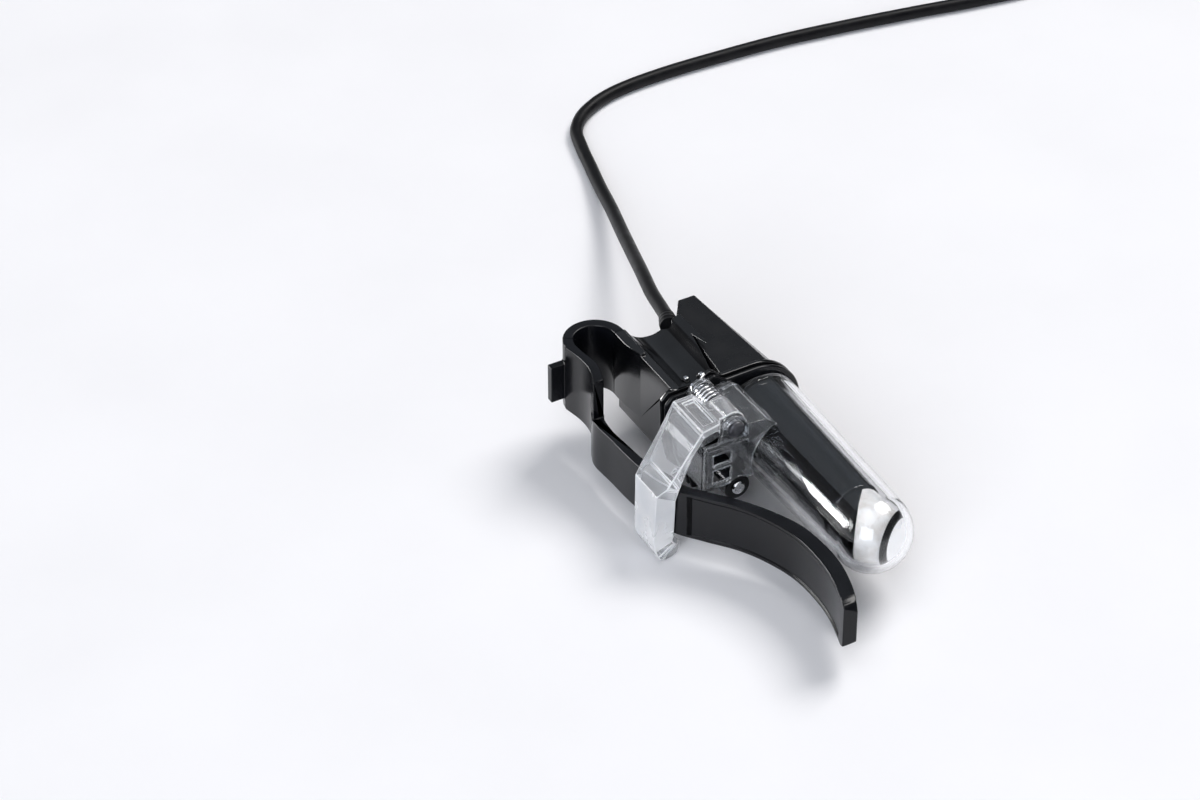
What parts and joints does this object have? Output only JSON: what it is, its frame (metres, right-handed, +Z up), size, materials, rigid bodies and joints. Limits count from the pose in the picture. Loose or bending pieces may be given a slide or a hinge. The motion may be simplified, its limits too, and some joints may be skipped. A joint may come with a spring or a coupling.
{
  "type": "clip-on pulse oximeter probe",
  "caption": "Clip-on optical pulse probe: clear domed capsule with optics in its nose, sprung black arm held shut by a clear hinged keeper, on a thin lead.",
  "frame": {"origin": "middle of the probe's footprint on the surface it lies on, measured without the free lead, its coil and its plug", "axes": "+Y from the capsule's nose towards the tail and the lead, +X from the arm towards the capsule, +Z up"},
  "size_m": [0.1271, 0.1382, 0.0161],
  "materials": {
    "clear_plastic": "polished clear plastic",
    "gloss_black": "high gloss",
    "black_plastic": "satin moulded",
    "black_rubber": "smooth matt",
    "white_reflector": "bright white",
    "frosted_lens": "frosted",
    "circuit_board": "solder mask",
    "led_red": "clear tinted resin",
    "led_infrared": "tinted resin",
    "sensor_chip": "polished",
    "bright_steel": "bright drawn",
    "wire_sleeve": "matt",
    "tie_strap": "matt",
    "gold_contact": "plated"
  },
  "bodies": {
    "housing": {"clear_capsule": "clear_plastic", "light_core": "gloss_black", "core_end_ring": "black_plastic", "reflector_cup": "white_reflector", "retaining_ring": "black_plastic", "diffuser_lens": "frosted_lens", "emitter_board": "circuit_board", "red_led": "led_red", "infrared_led": "led_infrared", "photodiode": "sensor_chip", "light_barrier": "black_plastic", "collar_flange": "black_plastic", "flange_gasket": "black_rubber", "tail_shell_upper": "black_plastic", "tail_shell_lower": "black_plastic", "clip_root": "black_plastic", "locating_pin_1": "bright_steel", "locating_pin_2": "bright_steel", "spring_loop": "black_plastic", "hinge_bracket": "clear_plastic", "hinge_pin": "bright_steel", "keeper_spring": "bright_steel", "bracket_post": "black_plastic", "bracket_screw": "bright_steel", "strain_relief": "black_rubber", "lead_jacket_end": "black_rubber", "cable_clamp": "black_plastic", "lead_wire_1": "wire_sleeve", "lead_wire_2": "wire_sleeve", "lead_wire_3": "wire_sleeve", "lead_wire_4": "wire_sleeve", "lead_cable": "black_rubber", "lead_coil": "black_rubber", "lead_end": "black_rubber", "coil_tie": "tie_strap", "plug_boot": "black_rubber", "plug_body": "black_plastic", "plug_shell": "bright_steel", "plug_contact_1": "gold_contact", "plug_contact_2": "gold_contact", "plug_contact_3": "gold_contact", "plug_contact_4": "gold_contact"},
    "arm": {"clip_arm": "black_plastic"},
    "keeper": {"clear_keeper": "clear_plastic"}
  },
  "joints": [
    {"name": "keeper_swing", "type": "hinge", "parent": "housing", "child": "keeper", "pos_m": [-0.00122, 0.00325, 0.0144], "axis": [0, 1, 0], "range_deg": [0, 95]},
    {"name": "arm_flex", "type": "hinge", "parent": "housing", "child": "arm", "pos_m": [-0.00702, 0.0225, 0.00635], "axis": [0, 0, -1], "range_deg": [0, 8], "deforming": ["spring_loop"]}
  ],
  "couplings": [
    {"joint": "arm_flex", "follows": "keeper_swing", "ratio": 0.084211}
  ]
}
